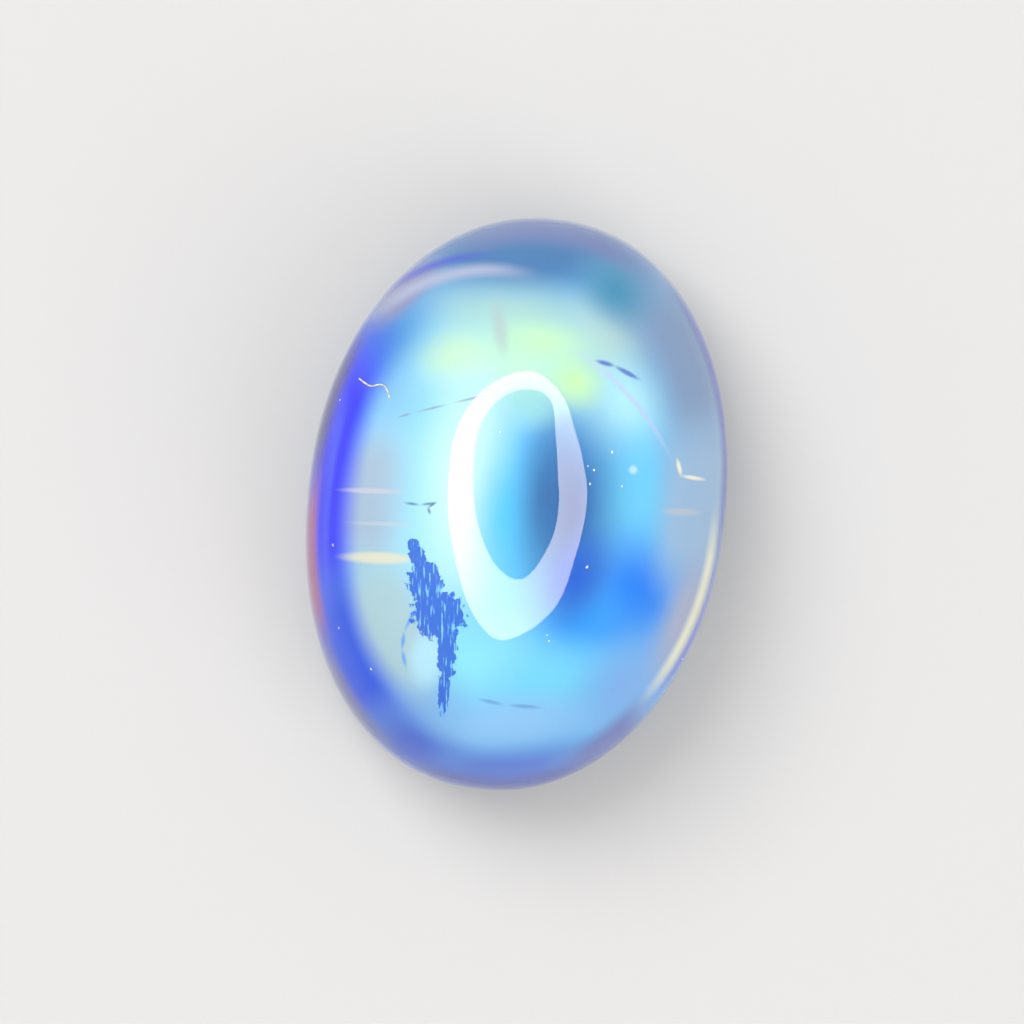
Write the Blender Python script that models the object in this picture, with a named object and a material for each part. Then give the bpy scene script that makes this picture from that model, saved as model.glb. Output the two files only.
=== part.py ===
"""A polished oval cabochon of rainbow moonstone, lying on its flat back with the dome up.

Metres, +Z up. The origin is the middle of the flat back. The long axis of the oval runs along Y.
The stone is one piece, so it is one object: a rounded lens that is ground flat underneath.
"""

import math

import bmesh
import bpy
from mathutils import Vector

# Driving dimensions
LENGTH = 0.0080
WIDTH = 0.0058
HEIGHT = 0.0040
GIRDLE_HEIGHT = 0.0010
BACK_BEVEL = 0.00018

# The oval is a little fuller than an ellipse, which would have the power 2
OUTLINE_POWER = 2.11

# How deep the underside would curve if it weren't ground flat
UNDERSIDE_DEPTH = 0.0021

# The polisher's hand: the top of the dome lies a little off the middle, and the oval is a hair fuller
# just clockwise of each of its four extremes than just past it
DOME_LEAN = Vector((0.00006, -0.00004))
SWELL = 0.000011
SWELL_WAVES = 4

# An icosphere of this many subdivisions has 1280 even triangles
SPHERE_SUBDIVISIONS = 4
# Corners this near the level cut are moved onto it, so that it leaves no slivers
CUT_SNAP = 0.0001
SMOOTH_ANGLE = math.radians(30)

BODY_COLOUR = (0.33, 0.62, 0.93, 1.0)
BODY_ROUGHNESS = 0.06
BODY_IOR = 1.53
BODY_TRANSMISSION = 0.35


def clear_scene():
    for obj in list(bpy.data.objects):
        bpy.data.objects.remove(obj)


def new_collection(name):
    collection = bpy.data.collections.new(name)
    bpy.context.scene.collection.children.link(collection)
    return collection


def moonstone_material():
    material = bpy.data.materials.new("moonstone")
    material.use_nodes = True
    shader = material.node_tree.nodes["Principled BSDF"]
    shader.inputs["Base Color"].default_value = BODY_COLOUR
    shader.inputs["Roughness"].default_value = BODY_ROUGHNESS
    shader.inputs["Metallic"].default_value = 0.0
    shader.inputs["IOR"].default_value = BODY_IOR
    shader.inputs["Transmission Weight"].default_value = BODY_TRANSMISSION
    return material


def girdle_radius(angle):
    """The distance from the axis to the oval's edge in this direction."""
    along_x = abs(math.cos(angle) / (WIDTH / 2)) ** OUTLINE_POWER
    along_y = abs(math.sin(angle) / (LENGTH / 2)) ** OUTLINE_POWER
    return (along_x + along_y) ** (-1 / OUTLINE_POWER)


def skin_point(direction):
    """The point of the uncut stone that lies where this unit direction of a sphere does."""
    angle = math.atan2(direction.y, direction.x)
    spread = math.hypot(direction.x, direction.y)
    swell = 1 - SWELL / (WIDTH / 2) * math.sin(SWELL_WAVES * angle) * spread
    radius = girdle_radius(angle) * spread * swell
    above = direction.z > 0
    depth = HEIGHT - GIRDLE_HEIGHT if above else UNDERSIDE_DEPTH
    lean = DOME_LEAN * max(direction.z, 0.0)
    return Vector(
        (
            radius * math.cos(angle) + lean.x,
            radius * math.sin(angle) + lean.y,
            GIRDLE_HEIGHT + depth * direction.z,
        )
    )


def grind_flat(mesh):
    """Cuts the underside off level, then closes it with a bevel that runs in to the flat back."""
    cut = bmesh.ops.bisect_plane(
        mesh,
        geom=mesh.verts[:] + mesh.edges[:] + mesh.faces[:],
        dist=CUT_SNAP,
        plane_co=(0, 0, BACK_BEVEL),
        plane_no=(0, 0, 1),
        use_snap_center=True,
        clear_inner=True,
    )
    rim = [item for item in cut["geom_cut"] if isinstance(item, bmesh.types.BMEdge)]
    extruded = bmesh.ops.extrude_edge_only(mesh, edges=rim)["geom"]
    inner_rim = [item for item in extruded if isinstance(item, bmesh.types.BMEdge)]
    inner_verts = [item for item in extruded if isinstance(item, bmesh.types.BMVert)]
    inset = 1 - BACK_BEVEL / (WIDTH / 2)
    bmesh.ops.scale(mesh, verts=inner_verts, vec=(inset, inset, 0))
    bmesh.ops.contextual_create(mesh, geom=inner_rim)


def cabochon(collection):
    mesh = bmesh.new()
    bmesh.ops.create_icosphere(mesh, subdivisions=SPHERE_SUBDIVISIONS, radius=1.0)
    for vertex in mesh.verts:
        vertex.co = skin_point(vertex.co.normalized())
    grind_flat(mesh)
    bmesh.ops.recalc_face_normals(mesh, faces=mesh.faces[:])
    data = bpy.data.meshes.new("moonstone")
    mesh.to_mesh(data)
    mesh.free()
    data.shade_smooth()
    data.set_sharp_from_angle(angle=SMOOTH_ANGLE)
    stone = bpy.data.objects.new("moonstone", data)
    stone.data.materials.append(moonstone_material())
    collection.objects.link(stone)
    return stone


def main():
    clear_scene()
    cabochon(new_collection("moonstone_cabochon"))


main()
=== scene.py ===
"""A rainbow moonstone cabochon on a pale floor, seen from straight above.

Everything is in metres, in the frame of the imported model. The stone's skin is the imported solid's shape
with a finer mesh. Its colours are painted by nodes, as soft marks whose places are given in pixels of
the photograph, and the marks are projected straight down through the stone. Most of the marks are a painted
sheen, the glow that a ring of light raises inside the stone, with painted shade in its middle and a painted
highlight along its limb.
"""

import math

import bmesh
import bpy
from mathutils import Matrix, Vector


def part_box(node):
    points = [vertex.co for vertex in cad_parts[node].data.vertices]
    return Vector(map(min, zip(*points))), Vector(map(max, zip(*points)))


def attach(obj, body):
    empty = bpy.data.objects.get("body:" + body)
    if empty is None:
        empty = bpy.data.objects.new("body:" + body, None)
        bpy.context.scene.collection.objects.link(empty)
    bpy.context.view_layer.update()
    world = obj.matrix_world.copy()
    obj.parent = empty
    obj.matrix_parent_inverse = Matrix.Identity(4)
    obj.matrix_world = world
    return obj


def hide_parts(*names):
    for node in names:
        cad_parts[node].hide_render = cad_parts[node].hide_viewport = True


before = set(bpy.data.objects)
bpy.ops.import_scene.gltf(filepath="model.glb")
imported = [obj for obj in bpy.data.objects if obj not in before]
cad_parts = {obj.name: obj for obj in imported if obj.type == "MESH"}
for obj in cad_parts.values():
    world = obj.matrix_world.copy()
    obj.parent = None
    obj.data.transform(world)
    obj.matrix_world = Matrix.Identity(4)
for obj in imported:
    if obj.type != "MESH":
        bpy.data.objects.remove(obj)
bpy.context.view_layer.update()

# Shape of the stone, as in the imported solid
STONE_LOW, STONE_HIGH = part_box("moonstone")
GIRDLE_HEIGHT = 0.0010
DOME_HEIGHT = STONE_HIGH.z - GIRDLE_HEIGHT
UNDERSIDE_DEPTH = 0.0021
BACK_BEVEL = 0.00018
OUTLINE_POWER = 2.11
DOME_LEAN = Vector((0.00006, -0.00004, 0.0))
SWELL = 0.000011
SWELL_WAVES = 4
HALF_WIDTH = (STONE_HIGH.x - STONE_LOW.x) / 2
HALF_LENGTH = (STONE_HIGH.y - STONE_LOW.y) / 2
SKIN_SUBDIVISIONS = 7
CUT_SNAP = 0.000008
SMOOTH_ANGLE = math.radians(30)

# The photograph in pixels: its size, the stone's middle, its lean and its scale
IMAGE_SIZE = 1024
PHOTO_MIDDLE = Vector((IMAGE_SIZE / 2, IMAGE_SIZE / 2))
STONE_MIDDLE = Vector((516.4, 504.0))
STONE_LEAN = math.radians(8.75)
PIXELS_PER_METRE = 72000.0

# Camera
CAMERA_LENS = 300.0
CAMERA_SENSOR = 36.0
CAMERA_CLIP_START = 0.001
FRAME_WIDTH = IMAGE_SIZE / PIXELS_PER_METRE
CAMERA_DISTANCE = FRAME_WIDTH / CAMERA_SENSOR * CAMERA_LENS

# Optics of the stone
STONE_IOR = 1.53
DOME_TRANSMISSION = 0.3
DOME_ROUGHNESS = 0.03
BACK_TRANSMISSION = 0.15
BACK_ROUGHNESS = 0.35
# How much lighter a base colour is than the colour that it is to be seen as
EXPOSURE = 1.1

# Colours are given as they are to be seen, from 0 to 255
# The dome's azure ground, under the marks of the painted sheen
BASE_COLOUR = (105, 190, 250)
WALL_COLOUR = (196, 208, 226)
BACK_COLOURS = ((186, 214, 238), (206, 226, 240))
BACK_HAZE_SCALE = 700.0
BACK_HAZE_LEVELS = (0.35, 0.65)
# The dome's colours fade to the wall's from this height down to the girdle
WALL_TOP = 0.0016
WALL_STRENGTH = 0.8

# Together the marks paint the stone's sheen, the glow that a ring of light raises inside it, with painted
# shade in its middle and a painted highlight along the limb, over the stone's own veils, lines, lamellae and
# feather.
# Painted marks, from the bottom layer up, in pixels of the photograph. Each is a kind, a name, a colour, a
# strength and a shape, and the kinds are:
# glow: an oval's middle, its two radii, its turn in degrees, and the share of it that is at full strength
# rim: the levels between which the mark sets in towards the rim, and a glow that it is kept inside
# arc: an oval's middle, radii and turn, the half width of its line, and a glow that it is kept inside
# stroke: the points of a line, its half width, and the share of it that is at full strength
LAYERS = [
    # Broad colours of the painted sheen, the glow that a ring of light raises inside the stone
    ("glow", "top teal", (60, 118, 172), 1.0, (520, 250, 200, 80, 0, 0.2)),
    ("glow", "top light", (158, 200, 203), 1.0, (515, 312, 170, 48, 4, 0.0)),
    ("glow", "green body", (192, 240, 206), 1.0, (510, 366, 168, 84, 4, 0.0)),
    ("glow", "green right", (182, 216, 206), 0.9, (612, 338, 72, 70, 35, 0.0)),
    ("glow", "green glow left", (208, 238, 172), 0.9, (455, 360, 54, 40, -10, 0.0)),
    ("glow", "green glow top", (200, 250, 180), 0.8, (545, 342, 70, 30, 8, 0.0)),
    ("glow", "left pale", (160, 226, 252), 1.0, (424, 510, 125, 205, 8, 0.2)),
    ("glow", "upper azure", (138, 198, 242), 0.8, (385, 395, 58, 54, 25, 0.0)),
    ("glow", "ring side glow", (206, 254, 255), 1.0, (466, 480, 62, 165, 4, 0.1)),
    ("glow", "right pale", (184, 238, 246), 1.0, (628, 412, 72, 74, 10, 0.0)),
    ("glow", "right azure", (108, 206, 254), 1.0, (634, 500, 78, 120, 8, 0.1)),
    ("glow", "deep right", (0, 122, 254), 1.0, (634, 590, 92, 84, 40, 0.0)),
    ("glow", "lower azure", (20, 152, 254), 0.9, (582, 622, 84, 62, -25, 0.0)),
    ("glow", "bottom cyan", (140, 228, 254), 1.0, (470, 664, 112, 82, 0, 0.0)),
    ("glow", "bottom cyan right", (115, 216, 254), 0.9, (552, 680, 88, 56, -12, 0.0)),
    ("glow", "bottom lavender", (148, 202, 245), 0.9, (510, 724, 140, 42, -6, 0.1)),
    ("glow", "bottom left haze", (130, 180, 226), 0.9, (426, 704, 66, 58, 30, 0.0)),
    ("glow", "lower right", (127, 177, 237), 0.9, (627, 684, 80, 58, -45, 0.0)),
    # Painted shade: the dark middle of the sheen, inside and beside the ring light's reflection, where the
    # ring's open middle sends no light; lighter to the left
    ("glow", "core shadow", (0, 70, 150), 1.0, (568, 508, 76, 152, 5, 0.0)),
    ("glow", "core shadow left", (82, 194, 250), 1.0, (510, 518, 58, 125, 4, 0.0)),
    ("glow", "core dark", (44, 100, 158), 0.9, (546, 500, 46, 118, 5, 0.0)),
    ("glow", "lower shadow", (0, 84, 204), 0.9, (576, 578, 40, 66, 22, 0.0)),
    ("glow", "core top", (150, 214, 212), 0.8, (530, 404, 44, 36, 0, 0.0)),
    ("glow", "green glow right", (200, 244, 165), 0.9, (576, 383, 42, 36, 30, 0.0)),
    # Bands that follow the rim
    ("rim", "upper right mist", (128, 154, 188), 1.0, (0.62, 0.86), (676, 366, 112, 175, -20, 0.2)),
    ("rim", "upper right teal", (56, 140, 176), 1.0, (0.58, 0.76), (616, 290, 62, 46, 45, 0.0)),
    ("rim", "right cream", (158, 190, 220), 1.0, (0.60, 0.78), (700, 505, 80, 120, 5, 0.3)),
    ("rim", "right lower cream", (172, 176, 198), 1.0, (0.76, 0.90), (694, 622, 62, 96, 20, 0.2)),
    ("rim", "left mist", (168, 190, 206), 1.0, (0.42, 0.70), (370, 500, 76, 100, 8, 0.3)),
    ("rim", "left cream", (172, 204, 206), 1.0, (0.38, 0.64), (386, 628, 74, 105, -14, 0.3)),
    ("rim", "upper left azure", (52, 132, 205), 1.0, (0.60, 0.84), (372, 330, 88, 100, 35, 0.1)),
    ("rim", "left blue", (0, 14, 246), 1.0, (0.72, 0.87), (322, 470, 90, 230, 8, 0.4)),
    ("rim", "left lower blue", (0, 76, 222), 1.0, (0.74, 0.87), (345, 655, 104, 130, -20, 0.3)),
    ("rim", "left streak", (72, 96, 240), 0.6, (0.875, 0.905), (334, 500, 14, 150, 4, 0.2)),
    ("rim", "bottom left blue", (62, 98, 205), 1.0, (0.78, 0.90), (410, 748, 84, 60, 25, 0.1)),
    ("rim", "bottom blue", (84, 122, 214), 1.0, (0.80, 0.92), (505, 775, 140, 62, -5, 0.2)),
    ("rim", "bottom violet", (70, 84, 172), 1.0, (0.93, 0.985), (510, 784, 180, 62, -5, 0.3)),
    ("rim", "lower right rim", (104, 116, 184), 1.0, (0.88, 0.95), (608, 738, 70, 54, -40, 0.2)),
    ("rim", "top rim", (106, 124, 176), 1.0, (0.88, 0.95), (548, 240, 140, 56, 10, 0.3)),
    ("rim", "upper left mist", (140, 140, 176), 1.0, (0.84, 0.92), (404, 290, 66, 34, -40, 0.2)),
    ("rim", "right fringe", (58, 78, 186), 1.0, (0.955, 0.99), (708, 420, 60, 200, -5, 0.3)),
    ("rim", "left pink", (176, 84, 94), 0.85, (0.925, 0.965), (306, 562, 56, 118, 5, 0.3)),
    ("rim", "left dark", (64, 56, 120), 1.0, (0.92, 0.985), (325, 400, 66, 110, 15, 0.3)),
    ("rim", "lower left outline", (112, 112, 150), 0.9, (0.93, 0.985), (345, 700, 66, 96, -30, 0.2)),
    # Veils and lines inside the stone, and a painted highlight along the lower right limb
    ("arc", "veil", (178, 184, 208), 0.85, (490, 420, 160, 150, 0, 11), (445, 282, 110, 44, -14, 0.3)),
    ("arc", "veil shadow", (46, 64, 205), 0.75, (492, 418, 170, 163, 0, 7), (430, 272, 80, 40, -20, 0.2)),
    # Painted highlight: a bright pale line where the ring's light comes out along the limb, with its blue
    # fringe
    ("arc", "limb", (250, 242, 205), 1.0, (508, 528, 204, 250, 14, 7), (694, 610, 44, 130, 22, 0.3)),
    ("arc", "limb fringe", (92, 110, 236), 0.8, (511, 528, 209, 255, 14, 4), (694, 630, 44, 120, 22, 0.2)),
    ("arc", "curved veil", (196, 204, 240), 0.7, (500, 560, 196, 236, -14, 4), (640, 390, 96, 90, 35, 0.2)),
    ("stroke", "curved dashes", (66, 80, 190), 0.8, [(596, 361), (614, 366), (640, 380)], 3.5, 0.3),
    ("stroke", "bright check", (250, 246, 215), 1.0, [(677, 459), (681, 476), (706, 480)], 3.0, 0.3),
    ("glow", "grey smudge", (178, 190, 190), 0.6, (500, 330, 12, 42, -8, 0.1)),
    ("glow", "yellow lamella", (228, 224, 190), 0.9, (378, 558, 46, 8, 2, 0.4)),
    ("glow", "pink lamella", (206, 202, 214), 0.8, (372, 491, 40, 4, 2, 0.3)),
    ("glow", "cream lamella", (198, 208, 214), 0.6, (384, 524, 44, 3, 2, 0.3)),
    ("glow", "right lamella", (198, 200, 206), 0.7, (682, 512, 26, 5, 2, 0.3)),
    ("glow", "right blob", (196, 232, 255), 0.9, (633, 470, 6, 6, 0, 0.3)),
    ("stroke", "low veil", (92, 140, 200), 0.6, [(477, 699), (505, 705), (545, 708)], 3.0, 0.2),
    ("stroke", "brown hair", (140, 150, 160), 0.7,
     [(396, 418), (413, 413), (450, 404), (491, 394)], 2.0, 0.1),
    ("stroke", "dark scratch", (64, 104, 140), 0.8, [(404, 503), (420, 505), (437, 503)], 2.2, 0.1),
    ("stroke", "dark hook", (64, 104, 140), 0.8, [(436, 502), (428, 508), (430, 514)], 2.2, 0.1),
    ("stroke", "azure line", (70, 150, 240), 0.8, [(416, 608), (404, 632), (402, 650), (406, 668)], 3.0, 0.1),
    ("glow", "pale lobe", (184, 232, 244), 0.8, (426, 660, 24, 38, 0, 0.3)),
]

# The feather inside the stone: ovals that its ragged patch fills, its two colours, and its ragged edge
FEATHER_OVALS = [
    (417, 556, 10, 22, -20),
    (425, 582, 22, 26, -10),
    (438, 614, 34, 30, 25),
    (447, 650, 12, 44, 2),
    (444, 690, 7, 34, 4),
]
FEATHER_BLUE = (24, 90, 208)
FEATHER_BRIGHT = (130, 205, 252)
FEATHER_STRENGTH = 0.92
FEATHER_RAGGEDNESS_SCALE = 0.16
FEATHER_BITE = 0.56
FEATHER_EDGE = (0.10, 0.18)
FEATHER_FADE = 0.06
# The upright lines: their noise is squeezed across and drawn out along them
FEATHER_LINE_SCALE = (0.42, 0.05, 1.0)
FEATHER_LINE_EDGE = (0.54, 0.66)

# Dirt on the dome: a curl of lint and specks of dust
LINT_PATH = [(360, 379), (366, 384), (372, 387), (378, 385), (384, 385), (388, 390), (390, 398)]
LINT_RADIUS = 0.000011
LINT_COLOUR = (238, 228, 196)
SPECKS = [(500, 432), (588, 466), (594, 470), (587, 567), (547, 635), (339, 628), (371, 669), (333, 545),
          (478, 540), (549, 641), (622, 486), (432, 508), (682, 659), (340, 400), (590, 484), (612, 452)]
SPECK_RADIUS = 0.000016
SPECK_SIZES = (0.7, 0.9, 1.1, 1.3)
SPECK_SHAPE = (1.0, 0.8, 0.5)
SPECK_COLOUR = (248, 252, 255)
DIRT_ROUGHNESS = 0.7
DIRT_UNEVENNESS_SCALE = 20000.0
DIRT_UNEVENNESS_LEVELS = (0.3, 0.7)
DIRT_SHADE = 0.75

# Ring light: the outlines of its reflection, clockwise from the top
RING_HOLE = [(529, 389), (551, 401), (556, 439), (558, 476), (559, 502), (553, 536), (533, 571), (514, 579),
             (492, 560), (477, 521), (473, 480), (478, 431), (500, 399)]
RING_EDGE = [(530, 371), (562, 395), (575, 431), (583, 461), (587, 500), (577, 551), (553, 610), (503, 640),
             (471, 610), (452, 543), (448, 490), (456, 431), (484, 389)]
RING_LIGHT_HEIGHT = 0.1
RING_RADIANCE = (9.5, 8.3, 7.2)
RING_SEGMENTS = 104

# The studio: a floor just under the stone, an even pale world and two soft lamps, with linear colours
FLOOR_SIZE = 1.0
FLOOR_DROP = 0.00002
FLOOR_COLOUR = (0.52, 0.52, 0.52, 1.0)
FLOOR_ROUGHNESS = 0.7
WORLD_COLOUR = (1.0, 1.0, 1.0, 1.0)
WORLD_STRENGTH = 0.8
# Name, place, size and watts of each lamp
LAMPS = [
    ("key", (-0.12, 0.10, 0.22), 0.16, 0.50),
    ("fill", (0.2, -0.12, 0.2), 0.2, 0.25),
]

# Looking up a point of the dome: how many rounds it takes, and the step that its slope is measured over
SEARCH_ROUNDS = 6
SLOPE_STEP = 0.00001

# Sockets of the Mix node for colours, which share their names with those for other kinds
MIX_FACTOR, MIX_BELOW, MIX_ABOVE = 0, 6, 7
MIX_RESULT = 2


def seen(red, green, blue):
    """The linear base colour that looks like this 0 to 255 colour in the render's light."""
    channels = [value / 255 for value in (red, green, blue)]
    linear = [c / 12.92 if c <= 0.04045 else ((c + 0.055) / 1.055) ** 2.4 for c in channels]
    return (*[min(value * EXPOSURE, 1.0) for value in linear], 1.0)


def add_object(name, data):
    made = bpy.data.objects.new(name, data)
    bpy.context.scene.collection.objects.link(made)
    return made


def mesh_data(name, mesh):
    """Turns an edited mesh into mesh data, and frees it."""
    data = bpy.data.meshes.new(name)
    mesh.to_mesh(data)
    mesh.free()
    return data


def girdle_radius(angle):
    """The distance from the axis to the oval's edge in this direction."""
    along_x = abs(math.cos(angle) / HALF_WIDTH) ** OUTLINE_POWER
    along_y = abs(math.sin(angle) / HALF_LENGTH) ** OUTLINE_POWER
    return (along_x + along_y) ** (-1 / OUTLINE_POWER)


def skin_point(direction):
    """The point of the uncut stone that lies where this unit direction of a sphere does."""
    angle = math.atan2(direction.y, direction.x)
    spread = math.hypot(direction.x, direction.y)
    swell = 1 - SWELL / HALF_WIDTH * math.sin(SWELL_WAVES * angle) * spread
    radius = girdle_radius(angle) * spread * swell
    depth = DOME_HEIGHT if direction.z > 0 else UNDERSIDE_DEPTH
    lean = DOME_LEAN * max(direction.z, 0.0)
    height = GIRDLE_HEIGHT + depth * direction.z
    return Vector((radius * math.cos(angle), radius * math.sin(angle), height)) + lean


def stone_mesh():
    """The stone's skin: the uncut stone, cut off level, with a bevel that runs in to the flat back."""
    mesh = bmesh.new()
    bmesh.ops.create_icosphere(mesh, subdivisions=SKIN_SUBDIVISIONS, radius=1.0)
    for vertex in mesh.verts:
        vertex.co = skin_point(vertex.co.normalized())
    cut = bmesh.ops.bisect_plane(
        mesh,
        geom=mesh.verts[:] + mesh.edges[:] + mesh.faces[:],
        dist=CUT_SNAP,
        plane_co=(0, 0, BACK_BEVEL),
        plane_no=(0, 0, 1),
        use_snap_center=True,
        clear_inner=True,
    )
    rim = [item for item in cut["geom_cut"] if isinstance(item, bmesh.types.BMEdge)]
    extruded = bmesh.ops.extrude_edge_only(mesh, edges=rim)["geom"]
    inner_rim = [item for item in extruded if isinstance(item, bmesh.types.BMEdge)]
    inner_verts = [item for item in extruded if isinstance(item, bmesh.types.BMVert)]
    inset = 1 - BACK_BEVEL / HALF_WIDTH
    bmesh.ops.scale(mesh, verts=inner_verts, vec=(inset, inset, 0))
    bmesh.ops.contextual_create(mesh, geom=inner_rim)
    bmesh.ops.recalc_face_normals(mesh, faces=mesh.faces[:])
    data = mesh_data("stone", mesh)
    data.shade_smooth()
    data.set_sharp_from_angle(angle=SMOOTH_ANGLE)
    return data


def add_node(tree, kind, inputs=None, **settings):
    """Adds a shader node, sets its properties, and fills its inputs with values or links."""
    made = tree.nodes.new("ShaderNode" + kind)
    for name, value in settings.items():
        setattr(made, name, value)
    for key, value in (inputs or {}).items():
        if isinstance(value, bpy.types.NodeSocket):
            tree.links.new(value, made.inputs[key])
        else:
            made.inputs[key].default_value = value
    return made


def calculate(tree, operation, first, second=0.0, third=0.0):
    return add_node(tree, "Math", {0: first, 1: second, 2: third}, operation=operation).outputs[0]


def ramp(tree, value, start, end, top=1.0):
    """Rises smoothly from 0 where the value is at start to top where it is at end."""
    limits = {"Value": value, "From Min": start, "From Max": end, "To Min": 0.0, "To Max": top}
    return add_node(tree, "MapRange", limits, interpolation_type="SMOOTHSTEP").outputs[0]


def mix_colour(tree, factor, below, above):
    mixed = add_node(tree, "Mix", data_type="RGBA")
    for index, value in ((MIX_FACTOR, factor), (MIX_BELOW, below), (MIX_ABOVE, above)):
        if isinstance(value, bpy.types.NodeSocket):
            tree.links.new(value, mixed.inputs[index])
        else:
            mixed.inputs[index].default_value = value
    return mixed.outputs[MIX_RESULT]


def highest(tree, values):
    """The largest of several values at each point."""
    result = values[0]
    for value in values[1:]:
        result = calculate(tree, "MAXIMUM", result, value)
    return result


def photo_plane(tree):
    """Each point's pixel in the photograph, its place as seen at the girdle's level, and its height."""
    position = add_node(tree, "TexCoord").outputs["Object"]
    height = add_node(tree, "SeparateXYZ", {0: position}).outputs["Z"]
    at_floor = 1 - GIRDLE_HEIGHT / CAMERA_DISTANCE
    nearness = calculate(tree, "MULTIPLY_ADD", height, 1 / CAMERA_DISTANCE, at_floor)
    spread = add_node(tree, "VectorMath", {0: position, "Scale": nearness}, operation="SCALE").outputs[0]
    placing = {
        "Vector": spread,
        "Location": (*STONE_MIDDLE, 0.0),
        "Rotation": (0.0, 0.0, STONE_LEAN),
        "Scale": (PIXELS_PER_METRE, -PIXELS_PER_METRE, 0.0),
    }
    return add_node(tree, "Mapping", placing, vector_type="POINT").outputs[0], spread, height


def rim_level(tree, spread):
    """0 on the stone's axis and 1 on its outline, along ovals like the outline."""
    parts = add_node(tree, "SeparateXYZ", {0: spread})
    powers = []
    for axis, half in (("X", HALF_WIDTH), ("Y", HALF_LENGTH)):
        share = calculate(tree, "ABSOLUTE", calculate(tree, "DIVIDE", parts.outputs[axis], half))
        powers.append(calculate(tree, "POWER", share, OUTLINE_POWER))
    return calculate(tree, "POWER", calculate(tree, "ADD", *powers), 1 / OUTLINE_POWER)


class Painter:
    """Lays soft marks over a base colour, each one a shape on the photo plane and a seen colour."""

    def __init__(self, tree):
        self.tree = tree
        self.plane, spread, self.height = photo_plane(tree)
        self.level = rim_level(tree, spread)
        self.colour = seen(*BASE_COLOUR)

    def placed(self, centre_u, centre_v, radius_u, radius_v, turn):
        """The photo plane as this oval's own, in which the oval is a circle of radius 1 round 0."""
        placing = {
            "Vector": self.plane,
            "Location": (centre_u, centre_v, 0.0),
            "Rotation": (0.0, 0.0, math.radians(turn)),
            "Scale": (radius_u, radius_v, 1.0),
        }
        return add_node(self.tree, "Mapping", placing, vector_type="TEXTURE").outputs[0]

    def nearness(self, *oval):
        """1 in the middle of this oval and 0 from its edge outwards."""
        inputs = {0: self.placed(*oval)}
        return add_node(self.tree, "TexGradient", inputs, gradient_type="SPHERICAL").outputs["Fac"]

    def glow(self, strength, shape):
        """A soft oval."""
        *oval, core = shape
        return ramp(self.tree, self.nearness(*oval), 0.0, 1 - core, strength)

    def rim(self, strength, levels, window):
        """A band along the rim, inside a window."""
        rise = ramp(self.tree, self.level, *levels, strength)
        return calculate(self.tree, "MULTIPLY", rise, self.glow(1.0, window))

    def arc(self, strength, shape, window):
        """A line along an oval, inside a window."""
        *oval, width = shape
        inputs = {0: self.placed(*oval)}
        reach = add_node(self.tree, "VectorMath", inputs, operation="LENGTH").outputs["Value"]
        off = calculate(self.tree, "ABSOLUTE", calculate(self.tree, "SUBTRACT", reach, 1.0))
        shorter_radius = min(oval[2:4])
        line = ramp(self.tree, off, width / shorter_radius, 0.0, strength)
        return calculate(self.tree, "MULTIPLY", line, self.glow(1.0, window))

    def stroke(self, strength, points, width, core):
        """A line through some points, as a thin oval for each stretch."""
        pieces = []
        for (start_u, start_v), (end_u, end_v) in zip(points, points[1:]):
            length = math.hypot(end_u - start_u, end_v - start_v)
            turn = math.degrees(math.atan2(end_v - start_v, end_u - start_u))
            middle = ((start_u + end_u) / 2, (start_v + end_v) / 2)
            pieces.append(self.nearness(*middle, length / 2 + width, width, turn))
        return ramp(self.tree, highest(self.tree, pieces), 0.0, 1 - core, strength)

    def lay(self, kind, colour, strength, *shape):
        """Lays one mark over what is there."""
        kinds = {"glow": self.glow, "rim": self.rim, "arc": self.arc, "stroke": self.stroke}
        self.colour = mix_colour(self.tree, kinds[kind](strength, *shape), self.colour, seen(*colour))


def paint_feather(painter):
    """The dark blue feather: a ragged patch inside the stone, crossed by fine bright upright lines."""
    tree = painter.tree
    raggedness = {"Vector": painter.plane, "Scale": FEATHER_RAGGEDNESS_SCALE, "Detail": 5.0}
    rough = add_node(tree, "TexNoise", raggedness).outputs["Fac"]
    body = highest(tree, [painter.nearness(*oval) for oval in FEATHER_OVALS])
    ragged = calculate(tree, "ADD", body, calculate(tree, "SUBTRACT", rough, FEATHER_BITE))
    edge = ramp(tree, ragged, *FEATHER_EDGE, FEATHER_STRENGTH)
    mask = calculate(tree, "MULTIPLY", edge, ramp(tree, body, 0.0, FEATHER_FADE))
    squeezed = {"Vector": painter.plane, "Scale": FEATHER_LINE_SCALE}
    upright = add_node(tree, "Mapping", squeezed).outputs[0]
    lines = add_node(tree, "TexNoise", {"Vector": upright, "Scale": 1.0, "Detail": 3.0}).outputs["Fac"]
    brightness = ramp(tree, lines, *FEATHER_LINE_EDGE)
    inner = mix_colour(tree, brightness, seen(*FEATHER_BLUE), seen(*FEATHER_BRIGHT))
    painter.colour = mix_colour(tree, mask, painter.colour, inner)


def principled(name):
    """A new material, its node tree and its Principled BSDF."""
    material = bpy.data.materials.new(name)
    material.use_nodes = True
    return material, material.node_tree, material.node_tree.nodes["Principled BSDF"]


def dome_material():
    material, tree, shader = principled("moonstone_dome")
    painter = Painter(tree)
    # The marks lay the painted sheen with its painted shade and highlight, and the stone's own lines; then
    # the feather
    for kind, _, colour, strength, *shape in LAYERS:
        painter.lay(kind, colour, strength, *shape)
    paint_feather(painter)
    wall = ramp(tree, painter.height, WALL_TOP, GIRDLE_HEIGHT, WALL_STRENGTH)
    colour = mix_colour(tree, wall, painter.colour, seen(*WALL_COLOUR))
    tree.links.new(colour, shader.inputs["Base Color"])
    shader.inputs["Transmission Weight"].default_value = DOME_TRANSMISSION
    shader.inputs["IOR"].default_value = STONE_IOR
    shader.inputs["Roughness"].default_value = DOME_ROUGHNESS
    return material


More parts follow.
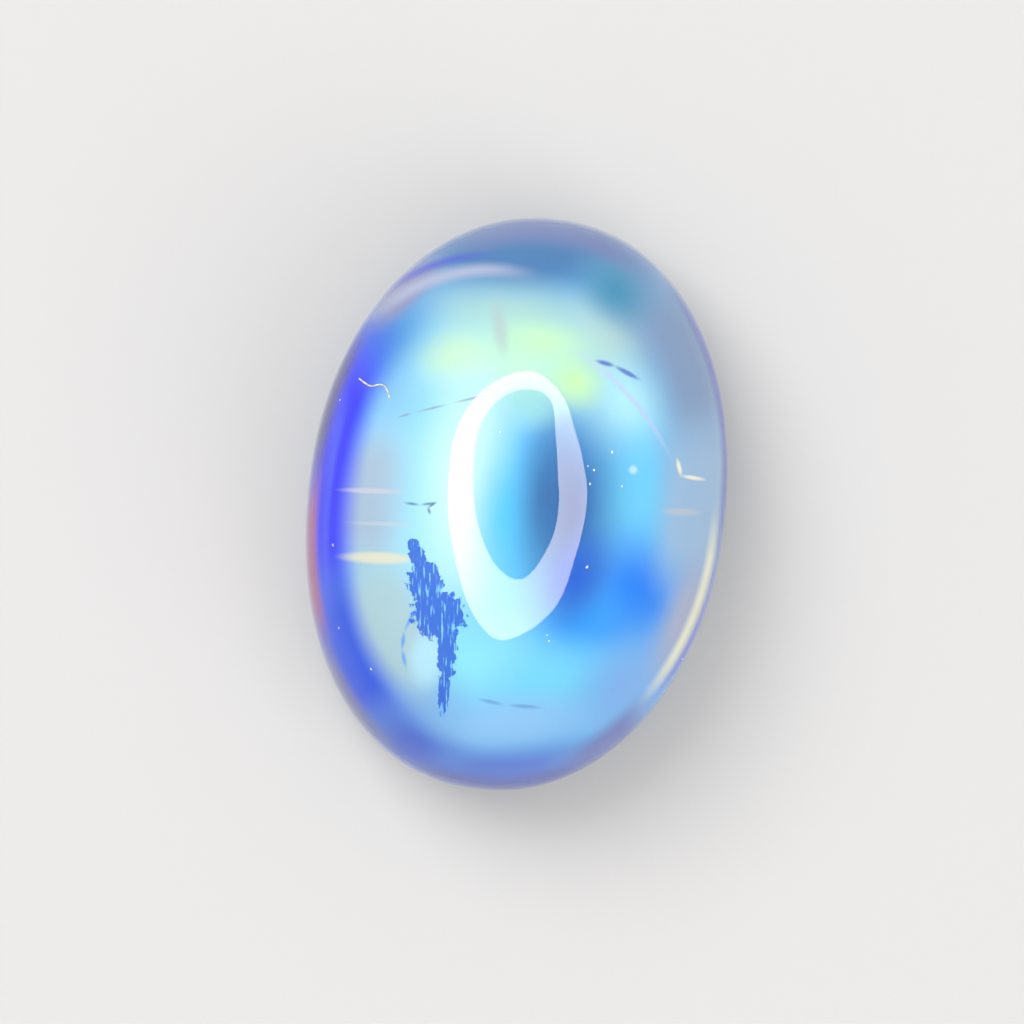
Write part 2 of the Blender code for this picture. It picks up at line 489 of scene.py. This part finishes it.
def back_material():
    material, tree, shader = principled("moonstone_back")
    position = add_node(tree, "TexCoord").outputs["Object"]
    milkiness = {"Vector": position, "Scale": BACK_HAZE_SCALE, "Detail": 4.0}
    haze = add_node(tree, "TexNoise", milkiness).outputs["Fac"]
    darker, lighter = BACK_COLOURS
    colour = mix_colour(tree, ramp(tree, haze, *BACK_HAZE_LEVELS), seen(*darker), seen(*lighter))
    tree.links.new(colour, shader.inputs["Base Color"])
    shader.inputs["Transmission Weight"].default_value = BACK_TRANSMISSION
    shader.inputs["IOR"].default_value = STONE_IOR
    shader.inputs["Roughness"].default_value = BACK_ROUGHNESS
    return material


def place_stone():
    data = stone_mesh()
    data.materials.append(dome_material())
    data.materials.append(back_material())
    # The second material is for the flat back and its bevel, whose faces have middles well below the cut
    for face in data.polygons:
        face.material_index = 1 if face.center.z < 0.9 * BACK_BEVEL else 0
    stone = add_object("moonstone_skin", data)
    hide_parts("moonstone")
    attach(stone, "root")


def photo_to_stone(pixel):
    """Where a pixel of the photograph falls in the plane of the girdle."""
    offset = Vector((pixel[0] - STONE_MIDDLE.x, STONE_MIDDLE.y - pixel[1], 0.0)) / PIXELS_PER_METRE
    offset.rotate(Matrix.Rotation(STONE_LEAN, 3, "Z"))
    return offset


def dome_height(x, y):
    """How high the dome's skin is here. It takes a few rounds, as the lean and the swell vary with height."""
    rise = 1.0
    level = 0.0
    for _ in range(SEARCH_ROUNDS):
        across = x - DOME_LEAN.x * rise
        along = y - DOME_LEAN.y * rise
        swell = 1 - SWELL / HALF_WIDTH * math.sin(SWELL_WAVES * math.atan2(along, across)) * level
        total = abs(across / HALF_WIDTH) ** OUTLINE_POWER + abs(along / HALF_LENGTH) ** OUTLINE_POWER
        level = total ** (1 / OUTLINE_POWER) / swell
        rise = math.sqrt(max(1 - level**2, 0.0))
    return GIRDLE_HEIGHT + DOME_HEIGHT * rise


def camera_place():
    middle = photo_to_stone(PHOTO_MIDDLE)
    return Vector((middle.x, middle.y, GIRDLE_HEIGHT + CAMERA_DISTANCE))


def dome_point(pixel):
    """The point of the dome that the camera sees at this pixel, and the dome's normal there."""
    eye = camera_place()
    sight = photo_to_stone(pixel) + Vector((0, 0, GIRDLE_HEIGHT)) - eye
    point = eye + sight
    for _ in range(SEARCH_ROUNDS):
        point = eye + sight * ((eye.z - dome_height(point.x, point.y)) / CAMERA_DISTANCE)
    x, y, _ = point
    slope_x = (dome_height(x + SLOPE_STEP, y) - dome_height(x - SLOPE_STEP, y)) / (2 * SLOPE_STEP)
    slope_y = (dome_height(x, y + SLOPE_STEP) - dome_height(x, y - SLOPE_STEP)) / (2 * SLOPE_STEP)
    return point, Vector((-slope_x, -slope_y, 1)).normalized()


def dirt_material(name, colour):
    """A dull, slightly uneven pale finish."""
    material, tree, shader = principled(name)
    position = add_node(tree, "TexCoord").outputs["Object"]
    uneven = add_node(tree, "TexNoise", {"Vector": position, "Scale": DIRT_UNEVENNESS_SCALE}).outputs["Fac"]
    darker = [value * DIRT_SHADE for value in colour]
    mixed = mix_colour(tree, ramp(tree, uneven, *DIRT_UNEVENNESS_LEVELS), seen(*darker), seen(*colour))
    tree.links.new(mixed, shader.inputs["Base Color"])
    shader.inputs["Roughness"].default_value = DIRT_ROUGHNESS
    return material


def place_dirt(name, data, material):
    data.materials.append(material)
    piece = add_object(name, data)
    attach(piece, "root")


def place_lint():
    """A curled fibre that lies along the dome."""
    curve = bpy.data.curves.new("lint", "CURVE")
    curve.dimensions = "3D"
    curve.bevel_depth = LINT_RADIUS
    curve.bevel_resolution = 2
    curve.use_fill_caps = True
    spline = curve.splines.new("NURBS")
    spline.points.add(len(LINT_PATH) - 1)
    for point, pixel in zip(spline.points, LINT_PATH):
        place, normal = dome_point(pixel)
        point.co = (*(place + normal * LINT_RADIUS), 1.0)
    spline.use_endpoint_u = True
    spline.order_u = 3
    place_dirt("lint", curve, dirt_material("lint", LINT_COLOUR))


def place_specks():
    """Grains of dust, each a small flattened lump that is sunk a little into the dome's surface."""
    mesh = bmesh.new()
    for index, pixel in enumerate(SPECKS):
        place, normal = dome_point(pixel)
        size = SPECK_RADIUS * SPECK_SIZES[index % len(SPECK_SIZES)]
        turn = normal.to_track_quat("Z", "Y").to_matrix().to_4x4()
        shape = Matrix.Diagonal((*[size * share for share in SPECK_SHAPE], 1))
        lying = Matrix.Translation(place) @ turn @ shape
        bmesh.ops.create_icosphere(mesh, subdivisions=2, radius=1.0, matrix=lying)
    data = mesh_data("dust", mesh)
    data.shade_smooth()
    place_dirt("dust", data, dirt_material("dust", SPECK_COLOUR))


def closed_curve(points, count):
    """A smooth closed run of this many points through the given ones."""
    found = []
    total = len(points)
    for index in range(count):
        place = index / count * total
        base = int(place)
        t = place - base
        before, start, end, after = [Vector(points[(base + shift) % total]) for shift in (-1, 0, 1, 2)]
        bend = 2 * before - 5 * start + 4 * end - after
        found.append(start + t / 2 * (end - before + t * (bend + t * (3 * (start - end) + after - before))))
    return found


def light_point(pixel):
    """Where light comes from that the dome mirrors to the camera at this pixel."""
    point, normal = dome_point(pixel)
    sight = (point - camera_place()).normalized()
    mirrored = sight - 2 * sight.dot(normal) * normal
    return point + mirrored * ((RING_LIGHT_HEIGHT - point.z) / mirrored.z)


def place_ring_light():
    """A lamp that only reflections show, shaped so that the dome mirrors the photograph's ring of light."""
    mesh = bmesh.new()
    hole = [mesh.verts.new(light_point(pixel)) for pixel in closed_curve(RING_HOLE, RING_SEGMENTS)]
    edge = [mesh.verts.new(light_point(pixel)) for pixel in closed_curve(RING_EDGE, RING_SEGMENTS)]
    for index in range(RING_SEGMENTS):
        after = (index + 1) % RING_SEGMENTS
        mesh.faces.new((hole[index], hole[after], edge[after], edge[index]))
    data = mesh_data("ring_light", mesh)
    material = bpy.data.materials.new("ring_light")
    material.use_nodes = True
    tree = material.node_tree
    tree.nodes.clear()
    strongest = max(RING_RADIANCE)
    tint = (*[value / strongest for value in RING_RADIANCE], 1.0)
    glow = add_node(tree, "Emission", {"Color": tint, "Strength": strongest}).outputs[0]
    add_node(tree, "OutputMaterial", {"Surface": glow})
    data.materials.append(material)
    ring = add_object("ring_light", data)
    ring.visible_camera = False
    ring.visible_diffuse = False
    ring.visible_transmission = False
    ring.visible_volume_scatter = False
    ring.visible_shadow = False


def place_floor():
    bpy.ops.mesh.primitive_plane_add(size=FLOOR_SIZE, location=(0, 0, -FLOOR_DROP))
    plane = bpy.context.object
    plane.name = "floor"
    material, _, shader = principled("floor")
    shader.inputs["Base Color"].default_value = FLOOR_COLOUR
    shader.inputs["Roughness"].default_value = FLOOR_ROUGHNESS
    plane.data.materials.append(material)


def area_light(name, place, size, watts):
    """A soft lamp that faces the stone, and that the dome doesn't mirror."""
    light = bpy.data.lights.new(name, "AREA")
    light.size = size
    light.energy = watts
    lamp = add_object(name, light)
    lamp.location = place
    lamp.rotation_euler = (-Vector(place)).to_track_quat("-Z", "Y").to_euler()
    lamp.visible_glossy = False


def light_room():
    world = bpy.data.worlds.new("studio")
    world.use_nodes = True
    background = world.node_tree.nodes["Background"]
    background.inputs["Color"].default_value = WORLD_COLOUR
    background.inputs["Strength"].default_value = WORLD_STRENGTH
    bpy.context.scene.world = world
    for lamp in LAMPS:
        area_light(*lamp)


def place_camera():
    data = bpy.data.cameras.new("camera")
    data.lens = CAMERA_LENS
    data.sensor_width = CAMERA_SENSOR
    data.clip_start = CAMERA_CLIP_START
    made = add_object("camera", data)
    made.location = camera_place()
    made.rotation_euler = (0, 0, STONE_LEAN)
    bpy.context.scene.camera = made


place_stone()
place_lint()
place_specks()
place_ring_light()
place_floor()
light_room()
place_camera()
bpy.context.scene.view_settings.view_transform = "Standard"
